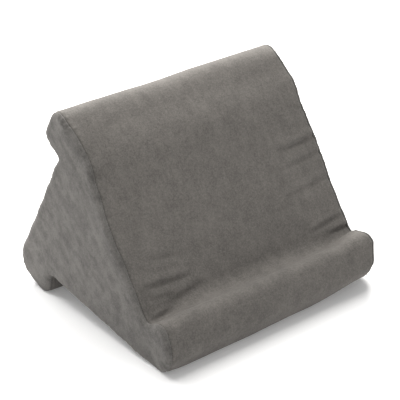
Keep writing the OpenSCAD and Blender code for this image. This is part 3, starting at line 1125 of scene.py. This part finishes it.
def care_label():
    """A blank folded ribbon, caught in the right end seam, that lies along the base."""
    def place(u, v):
        x = SEAM_X - LABEL_IN_SEAM - LABEL_L * u
        w = LABEL_FROM_ZIP + LABEL_W * (v - 0.5)
        lift = LABEL_BASE_H + LABEL_RISE * u ** 2 - LABEL_SINK * math.exp(-u / SINK_SHARE)
        twist = LABEL_TWIST * u ** 2 * (v - 0.5)
        return zip_point(x, w, lift + twist + LABEL_CURL * math.sin(math.pi * v) * u)
    label = grid_sheet("label_ribbon", 26, 16, place)
    return smooth_shade(thicken(label, -LABEL_T), 50)


# ---- Materials ----

def set_inputs(node, **values):
    """Sets a shader node's sockets. An underscore stands for a space."""
    for name, value in values.items():
        node.inputs[name.replace("_", " ")].default_value = value


class Shader:
    """A node material, built one node at a time."""

    def __init__(self, name, color, roughness, **sockets):
        self.material = bpy.data.materials.new(name)
        self.material.use_nodes = True
        self.tree = self.material.node_tree
        self.surface = self.tree.nodes["Principled BSDF"]
        self.base = color
        set_inputs(self.surface, Base_Color=(*color, 1), Roughness=roughness, **sockets)

    def node(self, kind, settings=None, **inputs):
        node = self.tree.nodes.new(kind)
        for key, value in (settings or {}).items():
            setattr(node, key, value)
        for key, value in inputs.items():
            self.feed(node.inputs[key.replace("_", " ")], value)
        return node

    def feed(self, socket, value):
        if isinstance(value, bpy.types.NodeSocket):
            self.tree.links.new(value, socket)
        else:
            socket.default_value = value

    def place(self, stretch=(1, 1, 1), turn=(0, 0, 0)):
        """Object coordinates, turned and then stretched along the turned axes."""
        source = self.node("ShaderNodeTexCoord").outputs["Object"]
        kind = {"vector_type": "TEXTURE"}
        mapping = self.node("ShaderNodeMapping", kind, Vector=source, Scale=stretch, Rotation=turn)
        return mapping.outputs["Vector"]

    def noise(self, size, detail=2.0, rough=0.5, place=None):
        """Noise from 0 to 1 whose lumps are about size metres across."""
        place = place or self.place()
        sizes = {"Scale": 1 / size, "Detail": detail, "Roughness": rough}
        return self.node("ShaderNodeTexNoise", Vector=place, **sizes).outputs["Fac"]

    def wave(self, direction, scale, distortion, **more):
        """Bands from 0 to 1 across one axis."""
        kind = {"bands_direction": direction}
        more.update(Scale=scale, Distortion=distortion)
        return self.node("ShaderNodeTexWave", kind, Vector=self.place(), **more).outputs["Fac"]

    def math(self, operation, first, second=0.0):
        node = self.node("ShaderNodeMath", {"operation": operation})
        self.feed(node.inputs[0], first)
        self.feed(node.inputs[1], second)
        return node.outputs[0]

    def add(self, *parts):
        """The sum of (factor, value) parts."""
        total = self.math("MULTIPLY", parts[0][1], parts[0][0])
        for factor, value in parts[1:]:
            total = self.math("ADD", total, self.math("MULTIPLY", value, factor))
        return total

    def tint(self, value, *stops):
        """Colours the surface by a value: each stop is a value and a factor on the base colour."""
        node = self.node("ShaderNodeValToRGB", Fac=value)
        elements = node.color_ramp.elements
        while len(elements) < len(stops):
            elements.new(0.5)
        for element, (place, factor) in zip(elements, stops):
            element.position = place
            element.color = (*[min(1, channel * factor) for channel in self.base], 1)
        self.feed(self.surface.inputs["Base Color"], node.outputs["Color"])

    def roughness(self, value, low, high):
        node = self.node("ShaderNodeMapRange", Value=value, To_Min=low, To_Max=high)
        self.feed(self.surface.inputs["Roughness"], node.outputs["Result"])

    def bump(self, height, distance, strength=1.0):
        node = self.node("ShaderNodeBump", Height=height, Distance=distance, Strength=strength)
        self.feed(self.surface.inputs["Normal"], node.outputs["Normal"])


def microsuede(name, color, clouds_share, contrast):
    """Brushed microfibre: a short nap with soft clouds where it lies in different directions."""
    sheen = {"Sheen_Weight": 0.14, "Sheen_Roughness": 0.5, "Sheen_Tint": (1, 0.97, 0.93, 1)}
    s = Shader(name, color, 0.9, Specular_IOR_Level=0.25, **sheen)
    grain = s.noise(1.4 * MM, 2, 0.6)
    fleck = s.noise(2.8 * MM, 2, 0.6)
    clouds = s.noise(0.013, 3, 0.6)
    streaks = s.noise(0.0085, 3, 0.6, s.place(stretch=(1, 1, 2.6), turn=NAP_TURN))
    patches = s.noise(0.055, 2, 0.5)
    nap = 0.5 - clouds_share / 2
    value = s.add(
        (nap * 0.9, grain), (nap * 0.7, fleck), (clouds_share * 0.5, clouds),
        (clouds_share * 0.5, streaks), (nap * 0.4, patches),
    )
    s.tint(value, (0.40, 1 - contrast), (0.5, 1), (0.60, 1 + contrast))
    s.roughness(clouds, 0.84, 0.98)
    s.bump(s.add((0.55, grain), (0.45, fleck)), 0.4 * MM, 0.6)
    return s.material


def spun_thread(name, color):
    """Sewing thread: fine slanted plies."""
    s = Shader(name, color, 0.7, Sheen_Weight=0.2, Specular_IOR_Level=0.3)
    plies = s.wave("DIAGONAL", 900.0, 1.0, Detail=1.0)
    s.tint(plies, (0, 0.6), (1, 1.3))
    s.bump(plies, 0.08 * MM)
    return s.material


def woven_tape(name, color):
    """Polyester zip tape: a fine rib along the chain crossed by the weft."""
    s = Shader(name, color, 0.75, Sheen_Weight=0.15, Specular_IOR_Level=0.3)
    weave = s.math("MULTIPLY", s.wave("Y", 420.0, 0.4), s.wave("X", 300.0, 0.4))
    s.tint(s.add((0.6, weave), (0.4, s.noise(6 * MM, 3))), (0.1, 0.6), (0.7, 1.35))
    s.bump(weave, 0.12 * MM)
    return s.material


def nylon(name, color):
    s = Shader(name, color, 0.35, Specular_IOR_Level=0.5)
    haze = s.noise(1.5 * MM, 2)
    s.tint(haze, (0.3, 0.8), (0.7, 1.3))
    s.roughness(haze, 0.28, 0.48)
    return s.material


def nickel(name, color):
    """Plated die-cast metal with a faint orange peel and small rubbed places."""
    s = Shader(name, color, 0.28, Metallic=1.0)
    rub = s.noise(2.2 * MM, 4, 0.65)
    peel = s.noise(0.35 * MM, 1)
    s.tint(rub, (0.3, 0.82), (0.6, 1), (0.8, 1.12))
    s.roughness(rub, 0.18, 0.42)
    s.bump(peel, 0.02 * MM, 0.5)
    return s.material


def foam_material(name, color):
    """Open-cell foam."""
    s = Shader(name, color, 0.95, Specular_IOR_Level=0.2)
    cells = s.node("ShaderNodeTexVoronoi", Vector=s.place(), Scale=900.0).outputs["Distance"]
    s.tint(s.add((0.6, cells), (0.4, s.noise(0.03, 3))), (0.1, 0.7), (0.6, 1))
    s.bump(cells, 0.5 * MM)
    return s.material


def satin(name, color):
    """Ribbon satin with a fine rib across it."""
    s = Shader(name, color, 0.38, Sheen_Weight=0.2, Anisotropic=0.5, Specular_IOR_Level=0.5)
    rib = s.wave("X", 700.0, 0.2)
    s.tint(s.add((0.35, rib), (0.65, s.noise(0.008, 2))), (0.2, 0.88), (0.8, 1))
    s.bump(rib, 0.03 * MM)
    return s.material


# The nap's streaks run from the top rear to the bottom front
NAP_TURN = (math.radians(-45), 0, 0)
WRAP_COLOR = (0.131, 0.122, 0.112)
# The end panels are the same cloth as the wrap. Their own colour, a touch cooler, is painted light: it
# stands in for the cooler light that falls on the ends.
END_CLOTH_COLOR_WITH_PAINTED_LIGHT = (0.129, 0.1225, 0.115)
THREAD_COLOR = (0.060, 0.057, 0.054)
TAPE_COLOR = (0.058, 0.056, 0.053)
NYLON_COLOR = (0.040, 0.040, 0.040)
METAL_COLOR = (0.60, 0.59, 0.57)
FOAM_COLOR = (0.78, 0.75, 0.62)
SATIN_COLOR = (0.83, 0.82, 0.79)

# Each look's slot and its material
LOOKS = {
    "wrap": ("cover_fabric", microsuede("cover_microsuede", WRAP_COLOR, 0.38, 0.24)),
    "end": ("cover_fabric", microsuede("end_microsuede", END_CLOTH_COLOR_WITH_PAINTED_LIGHT, 0.60, 0.32)),
    "thread": ("sewing_thread", spun_thread("sewing_thread", THREAD_COLOR)),
    "tape": ("zip_tape", woven_tape("zip_tape_weave", TAPE_COLOR)),
    "nylon": ("zip_nylon", nylon("zip_nylon", NYLON_COLOR)),
    "metal": ("zip_metal", nickel("zip_nickel", METAL_COLOR)),
    "foam": ("foam", foam_material("foam_cells", FOAM_COLOR)),
    "satin": ("label_satin", satin("label_satin", SATIN_COLOR)),
}


def finish_piece(obj, look, node, body="stand"):
    """Gives a piece its material and its body, and lets it stand for its CAD node."""
    slot, material = LOOKS[look]
    obj.data.materials.clear()
    obj.data.materials.append(material)
    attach(obj, body)
    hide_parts(node)
    return obj


# ---- Build ----

def build_cover():
    cover = closed_cover()
    simulate(cover)
    modify(cover, "SUBSURF", levels=1, render_levels=1)
    add_fine_relief(cover)
    wrap, seams = cut_wrap(cover)
    left = cut_end(cover, LEFT_END, "cover_end_left")
    right = cut_end(cover, RIGHT_END, "cover_end_right")
    remove_object(cover)
    finish_piece(smooth_shade(wrap), "wrap", "wrap_panel")
    finish_piece(smooth_shade(left), "end", "end_panel_left")
    finish_piece(smooth_shade(right), "end", "end_panel_right")
    for side, word in ((LEFT, "left"), (RIGHT, "right")):
        finish_piece(seam_stitches("seam_stitches_" + word, seams[side]), "thread", "seam_thread_" + word)
    return wrap, left, right


def metal_piece(node, name, width, body="stand"):
    finish_piece(rounded_copy(node, name, width), "metal", node, body)


def build_zip():
    tapes = []
    for side, word in ((1, "front"), (-1, "rear")):
        tapes.append(finish_piece(zip_tape("tape_" + word, side), "tape", "zip_tape_" + word))
        finish_piece(zip_coil("coil_" + word, side), "nylon", "zip_teeth_" + word)
        finish_piece(zip_stitches("topstitch_" + word, side), "thread", "zip_stitching_" + word)
        metal_piece("zip_top_stop_" + word, "top_stop_" + word, 0.25)
    metal_piece("zip_bottom_stop", "bottom_stop", 0.3)
    metal_piece("zip_slider", "slider_body", 0.22, "slider")
    metal_piece("zip_pull_tab", "pull_tab_body", 0.2, "pull_tab")
    for side, word in ((LEFT, "left"), (RIGHT, "right")):
        finish_piece(bartack("bartack_threads_" + word, side), "thread", "bartack_" + word)
    return tapes


def declare_soft(wrap, left, right):
    """Works out how far round the outline runs and the cloth area of one end panel; the results are not
    used.
    """
    y, z = OUTLINE.T
    around = float(distances(OUTLINE)[-1])
    end_area = abs(float((y * np.roll(z, -1) - z * np.roll(y, -1)).sum())) / 2 + around * ALLOWANCE


wrap, left, right = build_cover()
tapes = build_zip()
core = finish_piece(foam_core(), "foam", "foam_core")
label = finish_piece(care_label(), "satin", "care_label")
declare_soft(wrap, left, right)

# ---- Stage, lights and camera ----

CAMERA_TARGET = Vector((-0.00175, -0.00116, 0.09605))
CAMERA_DISTANCE = 1.43672
CAMERA_HEADING = math.radians(40.194)
CAMERA_DIP = math.radians(27.027)
CAMERA_ROLL = math.radians(0.459)
LENS = 126.81
SENSOR = 36.0
NEAR_CLIP = 0.05
LIGHT_TARGET = Vector((0, 0, 0.08))


def add_camera():
    data = bpy.data.cameras.new("camera")
    data.lens = LENS
    data.sensor_width = SENSOR
    data.clip_start = NEAR_CLIP
    camera = linked("camera", data)
    flat = math.cos(CAMERA_DIP)
    ahead = (math.sin(CAMERA_HEADING) * flat, math.cos(CAMERA_HEADING) * flat, -math.sin(CAMERA_DIP))
    view = Vector(ahead)
    turn = view.to_track_quat("-Z", "Y") @ Quaternion((0, 0, 1), CAMERA_ROLL)
    place = Matrix.Translation(CAMERA_TARGET - view * CAMERA_DISTANCE)
    camera.matrix_world = place @ turn.to_matrix().to_4x4()
    bpy.context.scene.camera = camera


def add_area_light(name, place, size, power, color):
    data = bpy.data.lights.new(name, "AREA")
    data.shape = "RECTANGLE"
    data.size, data.size_y = size
    data.energy = power
    data.color = color
    light = linked(name, data)
    light.location = place
    light.rotation_euler = (LIGHT_TARGET - Vector(place)).to_track_quat("-Z", "Y").to_euler()


# The paper glows a little, like a table lit from below, so that the shadows on it stay faint
FLOOR_GLOW = 0.14
FLOOR_HALF = 6.0
FLOOR_GREY = 0.9
WORLD_LIGHT = 0.52


def add_floor():
    corners = [(x * FLOOR_HALF, y * FLOOR_HALF, 0) for x, y in ((-1, -1), (1, -1), (1, 1), (-1, 1))]
    floor = mesh_object("floor", corners, [(0, 1, 2, 3)])
    glow = {"Emission_Color": (1, 1, 1, 1), "Emission_Strength": FLOOR_GLOW}
    paper = Shader("floor_paper", (FLOOR_GREY, FLOOR_GREY, FLOOR_GREY), 0.5, **glow)
    floor.data.materials.append(paper.material)


def add_world():
    world = bpy.data.worlds.new("studio")
    world.use_nodes = True
    set_inputs(world.node_tree.nodes["Background"], Color=(1, 1, 1, 1), Strength=WORLD_LIGHT)
    bpy.context.scene.world = world


add_camera()
add_floor()
add_world()
add_area_light("back_softbox", (-0.5, 1.7, 1.35), (1.4, 0.9), 14, (0.98, 0.99, 1.0))
add_area_light("right_softbox", (0.9, 1.4, 1.2), (1.2, 1.2), 52, (1.0, 0.985, 0.96))
add_area_light("top_softbox", (0.0, 0.25, 0.9), (0.9, 0.9), 10.8, (1.0, 0.985, 0.965))
bpy.context.scene.view_settings.view_transform = "Standard"
